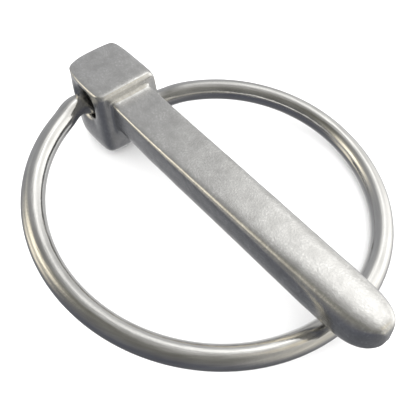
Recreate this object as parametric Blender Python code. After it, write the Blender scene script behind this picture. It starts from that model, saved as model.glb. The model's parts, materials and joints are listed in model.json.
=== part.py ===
"""Linch pin with a sprung locking ring, in metres, +Z up.

The pin's shank runs along +X, its head is at -X and stands on Z = 0. The origin is the bottom
centre of the bounding box. The ring's ends sit in one slanted cross bore of the head, on which it
swings.
"""
import math

import bmesh
import bpy
from mathutils import Vector

MM = 0.001

# Head: a block with rounded edges.
HEAD_LENGTH = 9.9 * MM
HEAD_WIDTH = 9.4 * MM
HEAD_HEIGHT = 12.0 * MM
HEAD_EDGE_RADIUS = 1.4 * MM

# Shank: a flat bar that widens a little towards its rounded tip.
SHANK_LENGTH = 45.7 * MM
SHANK_ROOT_WIDTH = 6.4 * MM
SHANK_END_WIDTH = 6.6 * MM
SHANK_THICKNESS = 5.3 * MM
SHANK_TOP_EDGE_RADIUS = 0.7 * MM
SHANK_LOWER_EDGE_RADIUS = 1.6 * MM
SHANK_AXIS_HEIGHT = 7.6 * MM
TIP_LENGTH = 4.6 * MM

# Cross bore through the head, which holds both ends of the ring. It is drilled at an angle: for
# each millimetre towards +Y it runs BORE_RUN towards the shank and BORE_FALL down.
BORE_DIAMETER = 4.6 * MM
BORE_FROM_SHOULDER = 3.85 * MM
BORE_HEIGHT = 6.4 * MM
BORE_RUN = 0.17
BORE_FALL = 0.45

# Ring of round spring wire. The sizes are those of the wire's centreline, seen from the hinge.
# Its ends lie along the slanted bore, END_GAP apart, and bend into the ring outside the head.
WIRE_DIAMETER = 3.0 * MM
RING_LENGTH = 43.8 * MM
RING_WIDTH = 44.6 * MM
RING_BACK = -0.45 * MM
RING_BACK_RISE = 1.05 * MM
RING_FAR_DROP = 3.85 * MM
RING_SAG = 0.5 * MM
RING_ROLL = 2.1 * MM
RING_SPREAD = 1.15 * MM
LEFT_SIDE_DROP = 3.5 * MM
RIGHT_SIDE_RISE = 0.7 * MM
SIDE_SHIFT_POWER = 1.8
END_DROP = 0.3 * MM
END_BEND_START = 3.6 * MM
END_BEND_FINISH = 9.0 * MM
END_GAP = 1.0 * MM

ROUND_SEGMENTS = 48
TIP_SEGMENTS = 14
BEVEL_SEGMENTS = 4
RING_STEPS = 100

# Derived places in the world.
OVERALL_LENGTH = HEAD_LENGTH + SHANK_LENGTH
HEAD_BACK_X = -OVERALL_LENGTH / 2
SHOULDER_X = HEAD_BACK_X + HEAD_LENGTH
HINGE = Vector((SHOULDER_X - BORE_FROM_SHOULDER, 0.0, BORE_HEIGHT))
HINGE_AXIS = Vector((BORE_RUN, 1.0, -BORE_FALL)).normalized()

STEEL = (0.52, 0.51, 0.49, 1.0)
WIRE_STEEL = (0.58, 0.57, 0.53, 1.0)


def clear_scene():
    for item in list(bpy.data.objects):
        bpy.data.objects.remove(item, do_unlink=True)


def make_material(name, colour, roughness):
    material = bpy.data.materials.new(name)
    material.use_nodes = True
    shader = material.node_tree.nodes["Principled BSDF"]
    shader.inputs["Base Color"].default_value = colour
    shader.inputs["Metallic"].default_value = 1.0
    shader.inputs["Roughness"].default_value = roughness
    material.diffuse_color = colour
    return material


def link_object(name, data, location):
    item = bpy.data.objects.new(name, data)
    item.location = location
    bpy.context.scene.collection.objects.link(item)
    return item


def add_bevel(item, width, by_weight=False):
    bevel = item.modifiers.new("rounded edges", "BEVEL")
    bevel.width = width
    bevel.segments = BEVEL_SEGMENTS
    bevel.limit_method = "WEIGHT" if by_weight else "ANGLE"
    bevel.angle_limit = math.radians(40)


def add_boolean(item, other, operation):
    boolean = item.modifiers.new(other.name, "BOOLEAN")
    boolean.operation = operation
    boolean.object = other


def head_mesh():
    """A block with its origin in the middle of its base."""
    bm = bmesh.new()
    bmesh.ops.create_cube(bm, size=1.0)
    bmesh.ops.scale(bm, vec=(HEAD_LENGTH, HEAD_WIDTH, HEAD_HEIGHT), verts=bm.verts)
    bmesh.ops.translate(bm, vec=(0, 0, HEAD_HEIGHT / 2), verts=bm.verts)
    mesh = bpy.data.meshes.new("head")
    bm.to_mesh(mesh)
    bm.free()
    return mesh


def shank_mesh():
    """The shank's outline in plan, extruded to its thickness, origin on its axis at the shoulder."""
    root_inset = HEAD_LENGTH / 3
    straight = SHANK_LENGTH - TIP_LENGTH
    outline = [(-root_inset, -SHANK_ROOT_WIDTH / 2)]
    for step in range(TIP_SEGMENTS + 1):
        angle = -math.pi / 2 + math.pi * step / TIP_SEGMENTS
        x = straight + TIP_LENGTH * math.cos(angle)
        outline.append((x, SHANK_END_WIDTH / 2 * math.sin(angle)))
    outline.append((-root_inset, SHANK_ROOT_WIDTH / 2))
    bm = bmesh.new()
    corners = [bm.verts.new((x, y, -SHANK_THICKNESS / 2)) for x, y in outline]
    bottom = bm.faces.new(corners)
    grown = bmesh.ops.extrude_face_region(bm, geom=[bottom])
    top = [part for part in grown["geom"] if isinstance(part, bmesh.types.BMVert)]
    bmesh.ops.translate(bm, vec=(0, 0, SHANK_THICKNESS), verts=top)
    bmesh.ops.recalc_face_normals(bm, faces=bm.faces)
    weights = bm.edges.layers.float.new("bevel_weight_edge")
    for edge in bm.edges:
        low, high = sorted(vert.co.z for vert in edge.verts)
        if low > 0:
            edge[weights] = SHANK_TOP_EDGE_RADIUS / SHANK_LOWER_EDGE_RADIUS
        elif high < 0:
            edge[weights] = 1.0
    mesh = bpy.data.meshes.new("shank")
    bm.to_mesh(mesh)
    bm.free()
    return mesh


def bore_mesh():
    """The bore's cutter: a turned bar along Y, longer than the slanted way through the head."""
    radius = BORE_DIAMETER / 2
    outside = HEAD_WIDTH
    bm = bmesh.new()
    points = [bm.verts.new(co) for co in ((0, -outside, 0), (radius, -outside, 0),
                                          (radius, outside, 0), (0, outside, 0))]
    edges = [bm.edges.new(pair) for pair in zip(points, points[1:])]
    bmesh.ops.spin(bm, geom=points + edges, cent=(0, 0, 0), axis=(0, 1, 0),
                   angle=2 * math.pi, steps=ROUND_SEGMENTS, use_merge=True)
    bmesh.ops.remove_doubles(bm, verts=bm.verts, dist=0.00001)
    bmesh.ops.recalc_face_normals(bm, faces=bm.faces)
    mesh = bpy.data.meshes.new("cross_bore")
    bm.to_mesh(mesh)
    bm.free()
    return mesh


def smooth_step(value):
    value = min(max(value, 0.0), 1.0)
    return value * value * (3 - 2 * value)


def ring_point(angle):
    """A point of the ring's centreline; its far end is at angle 0 and its ends are at +-pi."""
    reach = (1 + math.cos(angle)) / 2
    sine = math.sin(angle)
    x = RING_BACK + RING_LENGTH * reach + RING_SPREAD * angle / math.pi * (1 - reach)
    y = RING_WIDTH / 2 * sine
    z = RING_BACK_RISE - (RING_FAR_DROP + RING_BACK_RISE) * reach
    z -= RING_SAG * sine ** 2 + RING_ROLL * sine
    past_middle = abs(angle) / (math.pi / 2) - 1
    if past_middle > 0:
        side_shift = -LEFT_SIDE_DROP if angle > 0 else RIGHT_SIDE_RISE
        z += side_shift * past_middle ** SIDE_SHIFT_POWER
        bend = smooth_step((abs(y) - END_BEND_START) / (END_BEND_FINISH - END_BEND_START))
        x = y * BORE_RUN * (1 - bend) + x * bend
        z = (-END_DROP - y * BORE_FALL) * (1 - bend) + z * bend
    return Vector((x, y, z))


def ring_route():
    """From the end at -Y, round the far end, to the end at +Y."""
    last = math.pi - math.asin(END_GAP / RING_WIDTH)
    return [ring_point(-last + 2 * last * step / RING_STEPS) for step in range(RING_STEPS + 1)]


def bake_modifiers(item):
    """Keeps the shape that the modifiers give, with smooth rounds and sharp corners."""
    graph = bpy.context.evaluated_depsgraph_get()
    baked = bpy.data.meshes.new_from_object(item.evaluated_get(graph))
    item.modifiers.clear()
    item.data = baked
    baked.shade_smooth()
    baked.set_sharp_from_angle(angle=math.radians(35))


def build_pin(material):
    centre_x = HEAD_BACK_X + HEAD_LENGTH / 2
    pin = link_object("pin_body", head_mesh(), (centre_x, 0, 0))
    shank = link_object("shank_tool", shank_mesh(), (SHOULDER_X, 0, SHANK_AXIS_HEIGHT))
    bore = link_object("bore_tool", bore_mesh(), HINGE)
    bore.rotation_mode = "QUATERNION"
    bore.rotation_quaternion = Vector((0, 1, 0)).rotation_difference(HINGE_AXIS)
    pin.data.materials.append(material)
    add_bevel(pin, HEAD_EDGE_RADIUS)
    add_bevel(shank, SHANK_LOWER_EDGE_RADIUS, by_weight=True)
    add_boolean(pin, shank, "UNION")
    add_boolean(pin, bore, "DIFFERENCE")
    bake_modifiers(pin)
    bpy.data.objects.remove(shank, do_unlink=True)
    bpy.data.objects.remove(bore, do_unlink=True)
    return pin


def build_ring(material):
    curve = bpy.data.curves.new("lock_ring", "CURVE")
    curve.dimensions = "3D"
    curve.bevel_depth = WIRE_DIAMETER / 2
    curve.bevel_resolution = 4
    curve.use_fill_caps = True
    route = ring_route()
    spline = curve.splines.new("POLY")
    spline.points.add(len(route) - 1)
    for knot, point in zip(spline.points, route):
        knot.co = (point.x, point.y, point.z, 1.0)
    spline.use_smooth = True
    ring = link_object("lock_ring", curve, HINGE)
    ring.data.materials.append(material)
    return ring


def main():
    clear_scene()
    build_pin(make_material("cast_steel", STEEL, 0.38))
    build_ring(make_material("spring_wire", WIRE_STEEL, 0.24))


main()
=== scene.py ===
"""The looks of the linch pin: a cast, tumbled pin and a bright wire ring on a pale studio floor."""
import json
import math

import bmesh
import bpy
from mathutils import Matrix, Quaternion, Vector

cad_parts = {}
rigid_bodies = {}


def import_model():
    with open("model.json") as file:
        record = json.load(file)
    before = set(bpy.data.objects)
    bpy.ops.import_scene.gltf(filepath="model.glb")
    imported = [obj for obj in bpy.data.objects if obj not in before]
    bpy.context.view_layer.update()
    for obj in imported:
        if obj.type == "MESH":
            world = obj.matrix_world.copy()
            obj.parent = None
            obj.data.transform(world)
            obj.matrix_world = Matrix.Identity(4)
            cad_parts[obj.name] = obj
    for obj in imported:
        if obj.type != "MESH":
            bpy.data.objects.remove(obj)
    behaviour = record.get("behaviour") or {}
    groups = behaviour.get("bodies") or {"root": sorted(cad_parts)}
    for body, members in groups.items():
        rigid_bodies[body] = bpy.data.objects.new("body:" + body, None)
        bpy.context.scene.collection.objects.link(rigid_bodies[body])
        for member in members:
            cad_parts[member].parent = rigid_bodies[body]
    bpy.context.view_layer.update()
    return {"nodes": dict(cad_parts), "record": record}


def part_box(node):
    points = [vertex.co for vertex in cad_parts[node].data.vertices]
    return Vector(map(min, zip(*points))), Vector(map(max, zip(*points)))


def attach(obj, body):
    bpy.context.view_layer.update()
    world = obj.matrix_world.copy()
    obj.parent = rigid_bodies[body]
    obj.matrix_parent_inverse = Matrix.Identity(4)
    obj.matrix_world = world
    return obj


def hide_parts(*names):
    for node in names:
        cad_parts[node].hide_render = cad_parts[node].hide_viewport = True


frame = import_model()

MM = 0.001
HINGE = Vector(frame["record"]["behaviour"]["joints"][0]["pos_m"])
MOUNTS = {mount["name"]: Vector(mount["pos_m"]) for mount in frame["record"]["mounts"]}
PIN_LOW, PIN_HIGH = (Vector(corner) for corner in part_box("pin_body"))
RING_LOW, RING_HIGH = (Vector(corner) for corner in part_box("lock_ring"))
SHOULDER_X = MOUNTS["shoulder"].x
AXIS_BELOW_TOP = 4.4 * MM
AXIS_HEIGHT = PIN_HIGH.z - AXIS_BELOW_TOP
HEAD_MIDDLE_X = (SHOULDER_X + PIN_LOW.x) / 2
HEAD_HALF_LENGTH = (SHOULDER_X - PIN_LOW.x) / 2
RING_CENTRE = (RING_LOW + RING_HIGH) / 2

# The head. Left is the +Y side and right the -Y side. A step is where the cage's next row lies.
HEAD_HALF_WIDTH = 4.7 * MM
RIGHT_BULGE = 0.26 * MM
HEAD_EDGE_STEP = 1.3 * MM
BACK_STEPS = (1.3 * MM, 3.4 * MM, 5.2 * MM, 7.2 * MM, 9.6 * MM)
FRONT_LOW_STEP = 1.2 * MM
ROOT_ROW_INSET = 0.5 * MM
BASE_EDGE_STEP = 2.4 * MM
BACK_LEFT_RADIUS = 1.4 * MM
BACK_RIGHT_RADIUS = 3.1 * MM
FRONT_RADIUS = 0.4 * MM
BASE_CROWN = 0.5 * MM
TOP_CROWN = 0.06 * MM
BORE_RADIUS = 2.25 * MM
BORE_STRETCH = 1.02
BORE_RUN = 0.17
BORE_FALL = 0.45
RIM_ROUND = 0.35 * MM
HEAD_ROWS = 5
TOP_EDGE_BAND = 0.3 * MM
TOP_EDGE_CREASE = 0.3

# The shank. Shares run from 0 at the head to 1 where the rounded tip begins.
ROOT_HALF_WIDTH = 3.2 * MM
END_HALF_WIDTH = 3.3 * MM
HALF_THICKNESS = 2.65 * MM
ROOT_FILLET = 0.42 * MM
TIP_LENGTH = 4.6 * MM
SHANK_DRIFT = 0.22 * MM
DRIFT_RATE = 8.0
ROOT_TOP_STEP, ADDED_TOP_STEP = 0.8 * MM, 1.3 * MM
ROOT_LOW_STEP, ADDED_LOW_STEP = 1.7 * MM, 0.9 * MM
LOW_CORNER_CUT = 0.34 * MM
TIP_TOP_CORNER_CUT = 0.4 * MM
SHANK_SHARES = (0.011, 0.05, 0.18, 0.34, 0.5, 0.66, 0.82, 1.0)
# Each stage of the tip: degrees round its curve, then the share of height above and below the axis.
# The nose ends it: its share of the width, and of the height above and below the axis.
TIP_STAGES = ((30, 1.0, 0.84), (54, 0.98, 0.62), (74, 0.87, 0.38))
NOSE = (0.13, 0.45, 0.1)

# The casting's slight unevenness.
UNEVEN_SIZE = 3.2 * MM
UNEVEN_HEIGHT = 0.07 * MM

# The wire.
MERGE_DISTANCE = 0.01 * MM
WIRE_GROWTH = 0.07 * MM
LINE_STRETCH = 0.7 * MM

# The camera.
CAMERA_AZIMUTH, CAMERA_ELEVATION, CAMERA_ROLL = 50.94, 52.27, -1.05
CAMERA_TARGET = Vector((0.78, -1.92, 4.85)) * MM
CAMERA_DISTANCE = 76.56 * MM
CAMERA_LENS = 51.9

# The studio, as the metal sees it: tones from straight below to straight above, then the panels,
# each with the way to it, how narrow it is, and its colour.
BACKDROP = (1.0, 1.0, 1.0, 1)
EVEN_LIGHT = (2.2, 2.2, 2.2, 1)
ROOM_TONES = [
    (0.0, (0.11, 0.115, 0.13, 1)), (0.35, (0.105, 0.11, 0.135, 1)), (0.5, (0.13, 0.13, 0.14, 1)),
    (0.85, (0.12, 0.117, 0.1, 1)), (0.95, (0.2, 0.194, 0.175, 1)), (1.0, (0.42, 0.41, 0.39, 1))]
PANELS = [
    ((-0.95, 0.3, 0.3), 3.0, (0.38, 0.385, 0.4, 1)),
    ((0.4, 0.9, 0.2), 5.5, (1.75, 1.73, 1.69, 1)),
    ((-0.15, 0.56, 0.8), 36.0, (1.75, 1.74, 1.71, 1)),
    ((-0.6, 0.42, -0.65), 10.0, (0.9, 0.9, 0.9, 1)),
    ((0.95, 0.3, 0.0), 14.0, (0.75, 0.72, 0.64, 1)),
    ((-0.7, -0.7, -0.05), 50.0, (1.4, 1.3, 1.08, 1)),
    ((-0.15, -0.4, 0.9), 30.0, (0.15, 0.147, 0.125, 1)),
    ((-0.6, -0.57, 0.55), 45.0, (2.1, 1.93, 1.55, 1)),
    ((0.5, 0.4, 0.77), 60.0, (0.95, 0.87, 0.7, 1)),
]


# ---------------------------------------------------------------- modelling helpers

def deselect_all():
    for item in bpy.context.scene.objects:
        item.select_set(False)


def take_primitive(name):
    """Names the object that was just made, and its mesh."""
    piece = bpy.context.object
    piece.name = name
    piece.data.name = name
    return piece


def edit_mesh(piece):
    """Opens the piece in edit mode."""
    bpy.context.view_layer.objects.active = piece
    bpy.ops.object.mode_set(mode="EDIT")
    bpy.ops.mesh.select_mode(type="VERT")


def pick(piece, wanted, kind="verts"):
    """Selects just the vertices, edges or faces for which wanted(item) is true."""
    bpy.ops.mesh.select_all(action="DESELECT")
    bm = bmesh.from_edit_mesh(piece.data)
    mode = {"verts": "VERT", "edges": "EDGE", "faces": "FACE"}[kind]
    bpy.ops.mesh.select_mode(type=mode)
    for item in getattr(bm, kind):
        item.select_set(wanted(item))
    bm.select_flush_mode()
    bmesh.update_edit_mesh(piece.data)


def place_selected(piece, rule):
    """Moves each selected vertex to rule(its place)."""
    bm = bmesh.from_edit_mesh(piece.data)
    for vert in bm.verts:
        if vert.select:
            vert.co = rule(vert.co)
    bmesh.update_edit_mesh(piece.data)


def apply_modifier(piece, kind, **settings):
    deselect_all()
    piece.select_set(True)
    bpy.context.view_layer.objects.active = piece
    modifier = piece.modifiers.new(kind.lower(), kind)
    for name, value in settings.items():
        setattr(modifier, name, value)
    bpy.ops.object.modifier_apply(modifier=modifier.name)


def settle(piece):
    """Puts the piece's place into its mesh and shades it smooth."""
    deselect_all()
    piece.select_set(True)
    bpy.context.view_layer.objects.active = piece
    bpy.ops.object.transform_apply(location=True, rotation=True, scale=True)
    bpy.ops.object.shade_smooth()


def near(value, target, reach=0.02 * MM):
    """Whether a measure is the target, to within the reach."""
    return abs(value - target) < reach


# ---------------------------------------------------------------- the casting

def head_outline():
    """The corners round the head's side face, from the shank's axis over the top and the back."""
    front, back = SHOULDER_X, PIN_LOW.x
    top, base = PIN_HIGH.z, PIN_LOW.z
    patch = HALF_THICKNESS + ROOT_FILLET
    top_places = (front, front - HEAD_EDGE_STEP, HEAD_MIDDLE_X, back + HEAD_EDGE_STEP, back)
    base_places = (back, back + BASE_EDGE_STEP, HEAD_MIDDLE_X, front - BASE_EDGE_STEP, front)
    front_side = [(front, AXIS_HEIGHT + z) for z in (0, HALF_THICKNESS - ROOT_ROW_INSET, patch)]
    top_side = [(x, top) for x in top_places]
    back_side = [(back, top - step) for step in BACK_STEPS]
    base_side = [(x, base) for x in base_places]
    low_side = [(front, AXIS_HEIGHT - z) for z in (patch, FRONT_LOW_STEP)]
    return front_side + top_side + back_side + base_side + low_side


def bore_centre(y):
    """The slanted bore's middle where it passes the plane at y."""
    return HINGE + Vector((BORE_RUN, 1.0, -BORE_FALL)) * y


def round_bore(y, angle, radius):
    """The place at an angle round the bore, at a radius from its middle, in the plane at y."""
    return bore_centre(y) + radius * Vector((math.cos(angle), 0, BORE_STRETCH * math.sin(angle)))


def onto_rim(co):
    """The place on the mouth's outer edge that lies the same way from the bore's middle as co."""
    offset = co - bore_centre(co.y)
    angle = math.atan2(offset.z / BORE_STRETCH, offset.x)
    return round_bore(co.y, angle, BORE_RADIUS + RIM_ROUND)


def from_bore(co):
    """How far a place is from the bore's middle line."""
    offset = co - bore_centre(co.y)
    return math.hypot(offset.x, offset.z / BORE_STRETCH)


def head_block():
    """A coarse cage of the head: the slanted bore's tube, its two mouths, and the walls round them."""
    outline = head_outline()
    count = len(outline)
    inner = HEAD_HALF_WIDTH - RIM_ROUND
    deselect_all()
    bpy.ops.mesh.primitive_cylinder_add(vertices=count, radius=BORE_RADIUS, depth=2 * inner,
                                        end_fill_type="NOTHING", rotation=(math.pi / 2, 0, 0))
    pin = take_primitive("pin")
    deselect_all()
    pin.select_set(True)
    bpy.ops.object.transform_apply(location=True, rotation=True, scale=True)
    edit_mesh(pin)
    bpy.ops.mesh.select_all(action="SELECT")
    sector = 2 * math.pi / count

    def corner_number(offset):
        return round(math.atan2(offset.z, offset.x) / sector + 0.01) % count

    def drilled(co):
        return round_bore(co.y, corner_number(co) * sector, BORE_RADIUS)

    def to_outline(co):
        offset = co - bore_centre(co.y)
        x, z = outline[corner_number(Vector((offset.x, 0, offset.z / BORE_STRETCH)))]
        return Vector((x, co.y, z))

    place_selected(pin, drilled)
    for side in (-1, 1):
        edge_y = side * inner
        pick(pin, lambda e: e.is_boundary and all(near(v.co.y, edge_y) for v in e.verts), "edges")
        bpy.ops.mesh.extrude_region_move()
        face = HEAD_HALF_WIDTH if side > 0 else -HEAD_HALF_WIDTH - RIGHT_BULGE
        place_selected(pin, lambda co: onto_rim(Vector((co.x, face, co.z))))
        bpy.ops.mesh.extrude_region_move()
        place_selected(pin, to_outline)
    pick(pin, lambda e: e.is_boundary, "edges")
    bpy.ops.mesh.bridge_edge_loops(number_cuts=HEAD_ROWS)
    return pin


def corner_radius(x, y):
    """The radius of the plan's corner that is nearest to a place."""
    if x > HEAD_MIDDLE_X:
        return FRONT_RADIUS
    return BACK_LEFT_RADIUS if y > 0 else BACK_RIGHT_RADIUS


def rounded_plan(co):
    """Draws a place of the head in towards the middle, so that the plan's corners become round."""
    x, y = co.x - HEAD_MIDDLE_X, co.y
    reach = max(abs(x) / HEAD_HALF_LENGTH, abs(y) / HEAD_HALF_WIDTH)
    if reach < 0.01:
        return co
    radius = corner_radius(co.x, y)
    edge_x, edge_y = abs(x) / reach, abs(y) / reach
    centre_x, centre_y = HEAD_HALF_LENGTH - radius, HEAD_HALF_WIDTH - radius
    if edge_x <= centre_x or edge_y <= centre_y:
        return co
    square = edge_x ** 2 + edge_y ** 2
    along = edge_x * centre_x + edge_y * centre_y
    rest = centre_x ** 2 + centre_y ** 2 - radius ** 2
    share = (along + math.sqrt(along ** 2 - square * rest)) / square
    return Vector((HEAD_MIDDLE_X + x * share, y * share, co.z))


def soften_head(pin):
    """Rounds the head's plan, crowns its base and eases its top, and leaves the bore alone."""
    top, base = PIN_HIGH.z, PIN_LOW.z

    def eased(co):
        across = abs(co.y) / HEAD_HALF_WIDTH
        along = abs(co.x - HEAD_MIDDLE_X) / HEAD_HALF_LENGTH
        moved = rounded_plan(co)
        if near(co.z, base):
            moved.z = base + BASE_CROWN * (across ** 2 + along ** 2)
        if near(co.z, top):
            moved.z = top - TOP_CROWN * (across ** 2 + along ** 2)
        return moved

    pick(pin, lambda v: from_bore(v.co) > BORE_RADIUS + RIM_ROUND + MERGE_DISTANCE)
    place_selected(pin, eased)


def shank_section(share, narrow=1.0, above=1.0, below=1.0):
    """The shank's cross-section cage at a share of its length, by column across and row up."""
    half_wide = (ROOT_HALF_WIDTH + (END_HALF_WIDTH - ROOT_HALF_WIDTH) * share) * narrow
    up, down = HALF_THICKNESS * above, HALF_THICKNESS * below
    top_step = min(ROOT_TOP_STEP + ADDED_TOP_STEP * share ** 1.5, 0.55 * half_wide, 0.75 * up)
    low_step = min(ROOT_LOW_STEP + ADDED_LOW_STEP * share ** 2, 0.6 * half_wide, 0.75 * down)
    low_cut = LOW_CORNER_CUT * narrow * below
    top_cut = TIP_TOP_CORNER_CUT * share ** 2 * narrow * above
    aside = SHANK_DRIFT * min(DRIFT_RATE * share, 1.0)
    rows = {2: up, 1: up - top_step, 0: 0.0, -1: low_step - down, -2: -down}
    section = {}
    for column in range(-2, 3):
        for row, z in rows.items():
            step = top_step if row > 0 else low_step
            y = (0.0, half_wide - step, half_wide)[abs(column)]
            lift = 0.0
            if abs(row) == 2 and abs(column) == 2:
                lift = top_cut if row > 0 else low_cut
            y = math.copysign(y - lift, column) - aside
            section[column, row] = Vector((0, y, AXIS_HEIGHT + z - math.copysign(lift, row)))
    return section


def draw_shank(pin):
    """Extrudes the head's front patch in stages, which get the section of the shank at that place."""
    length = PIN_HIGH.x - SHOULDER_X
    straight = length - TIP_LENGTH
    stages = [(share * straight, 1.0, 1.0, 1.0) for share in SHANK_SHARES]
    for degrees, above, below in TIP_STAGES:
        angle = math.radians(degrees)
        stages.append((straight + TIP_LENGTH * math.sin(angle), math.cos(angle), above, below))
    stages.append((length, *NOSE))
    wide = ROOT_HALF_WIDTH + ROOT_FILLET
    tall = HALF_THICKNESS + ROOT_FILLET

    def at_root(face):
        middle = face.calc_center_median()
        return near(middle.x, SHOULDER_X) and abs(middle.y) < wide and abs(middle.z - AXIS_HEIGHT) < tall

    pick(pin, at_root, "faces")
    bm = bmesh.from_edit_mesh(pin.data)
    patch = [vert.co.copy() for vert in bm.verts if vert.select]
    columns = sorted({round(co.y / MM, 3) for co in patch})
    rows = sorted({round(co.z / MM, 3) for co in patch})
    section = {}
    for co in patch:
        column, row = columns.index(round(co.y / MM, 3)), rows.index(round(co.z / MM, 3))
        section[column - 2, row - 2] = co
    for reach, narrow, above, below in stages:
        following = shank_section(min(reach / straight, 1.0), narrow, above, below)

        def placed(co):
            key = min(section, key=lambda k: (section[k].yz - co.yz).length)
            return Vector((SHOULDER_X + reach, following[key].y, following[key].z))

        bpy.ops.mesh.extrude_region_move()
        place_selected(pin, placed)
        section = following


def crease_edges(pin):
    """Tightens the head's upper edge above the right-hand mouth of the bore."""
    top = PIN_HIGH.z - TOP_EDGE_BAND
    pick(pin, lambda e: all(v.co.z > top and v.co.y < -0.85 * HEAD_HALF_WIDTH for v in e.verts), "edges")
    bpy.ops.transform.edge_crease(value=TOP_EDGE_CREASE)


def make_pin():
    pin = head_block()
    soften_head(pin)
    draw_shank(pin)
    crease_edges(pin)
    bpy.ops.mesh.select_all(action="SELECT")
    bpy.ops.mesh.normals_make_consistent(inside=False)
    bpy.ops.object.mode_set(mode="OBJECT")
    apply_modifier(pin, "SUBSURF", levels=3, render_levels=3)
    unevenness = bpy.data.textures.new("unevenness", "CLOUDS")
    unevenness.noise_scale = UNEVEN_SIZE
    apply_modifier(pin, "DISPLACE", texture=unevenness, strength=UNEVEN_HEIGHT, mid_level=0.5)
    settle(pin)
    return pin


# ---------------------------------------------------------------- the wire

def make_ring():
    """The wire, from a copy of the frame's ring: merged, squared up and smoothed to a true round."""
    source = frame["nodes"]["lock_ring"]
    deselect_all()
    source.select_set(True)
    bpy.context.view_layer.objects.active = source
    bpy.ops.object.duplicate()
    ring = take_primitive("ring")
    ring.data.materials.clear()
    edit_mesh(ring)
    bpy.ops.mesh.select_all(action="SELECT")
    bpy.ops.mesh.remove_doubles(threshold=MERGE_DISTANCE)
    limit = math.radians(60)
    bpy.ops.mesh.tris_convert_to_quads(face_threshold=limit, shape_threshold=limit)
    bpy.ops.transform.shrink_fatten(value=WIRE_GROWTH)
    bpy.ops.object.mode_set(mode="OBJECT")
    apply_modifier(ring, "SUBSURF", levels=2, render_levels=2)
    settle(ring)
    return ring


# ---------------------------------------------------------------- materials

class Wire:
    """A socket that takes part in sums: each operation adds its Math node."""

    def __init__(self, material, socket):
        self.material = material
        self.socket = socket

    def _math(self, operation, first, second):
        return self.material.node("ShaderNodeMath", {"operation": operation}, {0: first, 1: second})

    def __add__(self, other):
        return self._math("ADD", self, other)

    def __radd__(self, other):
        return self._math("ADD", other, self)

    def __sub__(self, other):
        return self._math("SUBTRACT", self, other)

    def __rsub__(self, other):
        return self._math("SUBTRACT", other, self)

    def __mul__(self, other):
        return self._math("MULTIPLY", self, other)

    def __rmul__(self, other):
        return self._math("MULTIPLY", other, self)

    def __pow__(self, other):
        return self._math("POWER", self, other)

    def __rpow__(self, other):
        return self._math("POWER", other, self)


class Finish:
    """A new material with its Principled shader, or another node tree, and short ways to add nodes."""

    def __init__(self, name, tree=None):
        if tree is None:
            self.material = bpy.data.materials.new(name)
            self.material.use_nodes = True
            tree = self.material.node_tree
            self.shader = tree.nodes["Principled BSDF"]
        self.tree = tree

    def node(self, kind, settings=None, inputs=None, output=0):
        made = self.tree.nodes.new(kind)
        for name, value in (settings or {}).items():
            if name == "stops":
                self._set_stops(made.color_ramp, value)
            else:
                setattr(made, name, value)
        for name, value in (inputs or {}).items():
            self.feed(made.inputs[name], value)
        return Wire(self, made.outputs[output])

    def _set_stops(self, ramp, stops):
        while len(ramp.elements) < len(stops):
            ramp.elements.new(1.0)
        for element, (place, colour) in zip(ramp.elements, stops):
            element.position = place
            element.color = colour

    def feed(self, socket, value):
        if isinstance(value, Wire):
            self.tree.links.new(value.socket, socket)
        else:
            socket.default_value = value

    def set(self, **inputs):
        for name, value in inputs.items():
            self.feed(self.shader.inputs[name.replace("_", " ")], value)


def blend_colours(finish, share, first, second):
    """The first colour where the share is 0 and the second where it is 1."""
    return finish.node("ShaderNodeMix", {"data_type": "RGBA"}, {0: share, 6: first, 7: second}, output=2)


def noise(finish, place, scale, detail, roughness=0.5):
    """Noise at so many waves a metre."""
    return finish.node("ShaderNodeTexNoise", inputs={
        "Vector": place, "Scale": scale, "Detail": detail, "Roughness": roughness})


def ramp(finish, value, start, end):
    """0 where the value is at the start and 1 where it is at the end, held between them."""
    return finish.node("ShaderNodeMapRange", inputs={0: value, 1: start, 2: end, 3: 0.0, 4: 1.0})


def relief(finish, height, strength, depth):
    """The normal of a surface with this relief."""
    return finish.node("ShaderNodeBump", inputs={
        "Height": height, "Strength": strength, "Distance": depth})


def cast_steel():
    """Tumbled cast steel: soft clouds, a fine grain, and bright specks where high spots were rubbed."""
    finish = Finish("tumbled_cast_steel")
    place = finish.node("ShaderNodeTexCoord", output=3)
    broad = noise(finish, place, 190.0, 3.0)
    clouds = noise(finish, place, 620.0, 5.0, 0.6)
    grain = noise(finish, place, 3600.0, 4.0, 0.7)
    rubbed = ramp(finish, grain, 0.5, 0.68) * ramp(finish, clouds, 0.42, 0.62)
    dips = ramp(finish, clouds, 0.5, 0.36)
    tone = broad * 0.35 + clouds * 0.4 + grain * 0.35
    steel = blend_colours(finish, tone, (0.52, 0.515, 0.5, 1), (0.82, 0.815, 0.8, 1))
    steel = blend_colours(finish, dips * 0.1, steel, (0.36, 0.355, 0.34, 1))
    steel = blend_colours(finish, rubbed * 0.75, steel, (0.92, 0.92, 0.9, 1))
    height = grain * 1.1 + clouds * 0.6 + broad * 1.2
    roughness = broad * 0.06 + grain * 0.14 + 0.1
    normal = relief(finish, height, 0.5, 0.035 * MM)
    finish.set(Base_Color=steel, Metallic=1.0, Roughness=roughness, Normal=normal)
    return finish.material


def along_ring(finish, place):
    """Coordinates stretched along the wire: distance from the ring's middle, some turn, and height."""
    split = finish.tree.nodes.new("ShaderNodeSeparateXYZ")
    finish.feed(split.inputs[0], place)
    x, y, z = (Wire(finish, socket) for socket in split.outputs)
    x, y = x - RING_CENTRE.x, y - RING_CENTRE.y
    distance = (x * x + y * y) ** 0.5
    turn = finish.node("ShaderNodeMath", {"operation": "ARCTAN2"}, {0: y, 1: x})
    return finish.node("ShaderNodeCombineXYZ", inputs={0: distance, 1: turn * LINE_STRETCH, 2: z})


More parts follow.
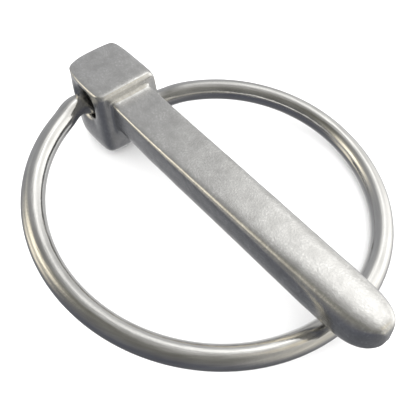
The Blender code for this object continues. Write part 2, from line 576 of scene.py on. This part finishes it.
def spring_wire():
    """Bright drawn wire: fine lines and bands along its length, cloudy patches and a light grain."""
    finish = Finish("bright_drawn_wire")
    place = finish.node("ShaderNodeTexCoord", output=3)
    route = along_ring(finish, place)
    lines = noise(finish, route, 3200.0, 3.0)
    bands = noise(finish, route, 900.0, 2.0)
    clouds = noise(finish, place, 260.0, 4.0)
    grain = noise(finish, place, 3000.0, 3.0)
    tone = lines * 0.45 + bands * 0.3 + clouds * 0.3
    steel = blend_colours(finish, tone, (0.4, 0.395, 0.38, 1), (0.92, 0.915, 0.9, 1))
    height = lines + bands * 0.9 + grain * 0.3
    roughness = clouds * 0.1 + lines * 0.1 + 0.03
    normal = relief(finish, height, 0.6, 0.04 * MM)
    finish.set(Base_Color=steel, Metallic=1.0, Roughness=roughness, Normal=normal)
    return finish.material


# ---------------------------------------------------------------- studio

def make_floor():
    """A pale floor under the head's base, which the metal doesn't mirror."""
    deselect_all()
    bpy.ops.mesh.primitive_plane_add(size=4.0, location=(0, 0, PIN_LOW.z))
    floor = take_primitive("floor")
    finish = Finish("pale_floor")
    finish.set(Base_Color=(0.9, 0.9, 0.9, 1), Roughness=0.9)
    floor.data.materials.append(finish.material)
    floor.visible_glossy = False


def lobe(studio, direction, aim, sharpness):
    """How near a direction is to the aim: 1 at the aim, falling off faster the sharper it is."""
    closeness = studio.node("ShaderNodeVectorMath", {"operation": "DOT_PRODUCT"},
                            {0: direction, 1: Vector(aim).normalized()}, output=1)
    return 2.0 ** ((closeness - 1.0) * sharpness)


def make_world():
    """A white studio: plain white seen straight, even light on the floor, and panels for the metal."""
    world = bpy.data.worlds.new("studio")
    world.use_nodes = True
    bpy.context.scene.world = world
    studio = Finish("studio", world.node_tree)
    background = world.node_tree.nodes["Background"]
    direction = studio.node("ShaderNodeTexCoord", output=0)
    height = studio.node("ShaderNodeSeparateXYZ", inputs={0: direction}, output=2)
    room = studio.node("ShaderNodeValToRGB", {"stops": ROOM_TONES}, {0: height * 0.5 + 0.5})
    for aim, sharpness, colour in PANELS:
        share = lobe(studio, direction, aim, sharpness)
        room = blend_colours(studio, share, room, colour)
    paths = world.node_tree.nodes.new("ShaderNodeLightPath")
    straight, glossy = (Wire(studio, paths.outputs[name]) for name in ("Is Camera Ray", "Is Glossy Ray"))
    light = blend_colours(studio, glossy, EVEN_LIGHT, room)
    colour = blend_colours(studio, straight, light, BACKDROP)
    studio.feed(background.inputs["Color"], colour)


def make_camera():
    """Looks down on the pin from its right-hand side, over the tip."""
    data = bpy.data.cameras.new("camera")
    data.sensor_width = 36.0
    data.lens = CAMERA_LENS
    data.clip_start = 0.005
    camera = bpy.data.objects.new("camera", data)
    azimuth, elevation = math.radians(CAMERA_AZIMUTH), math.radians(CAMERA_ELEVATION)
    level = math.cos(elevation)
    away = Vector((math.sin(azimuth) * level, -math.cos(azimuth) * level, math.sin(elevation)))
    camera.location = CAMERA_TARGET + away * CAMERA_DISTANCE
    turn = (-away).to_track_quat("-Z", "Y")
    camera.rotation_mode = "QUATERNION"
    camera.rotation_quaternion = turn @ Quaternion((0, 0, 1), math.radians(CAMERA_ROLL))
    bpy.context.scene.collection.objects.link(camera)
    bpy.context.scene.camera = camera


make_camera()
make_world()
make_floor()
bpy.context.scene.view_settings.view_transform = "Standard"

pin = make_pin()
pin.data.materials.append(cast_steel())
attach(pin, "pin")
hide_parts("pin_body")

ring = make_ring()
ring.data.materials.append(spring_wire())
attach(ring, "ring")
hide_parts("lock_ring")
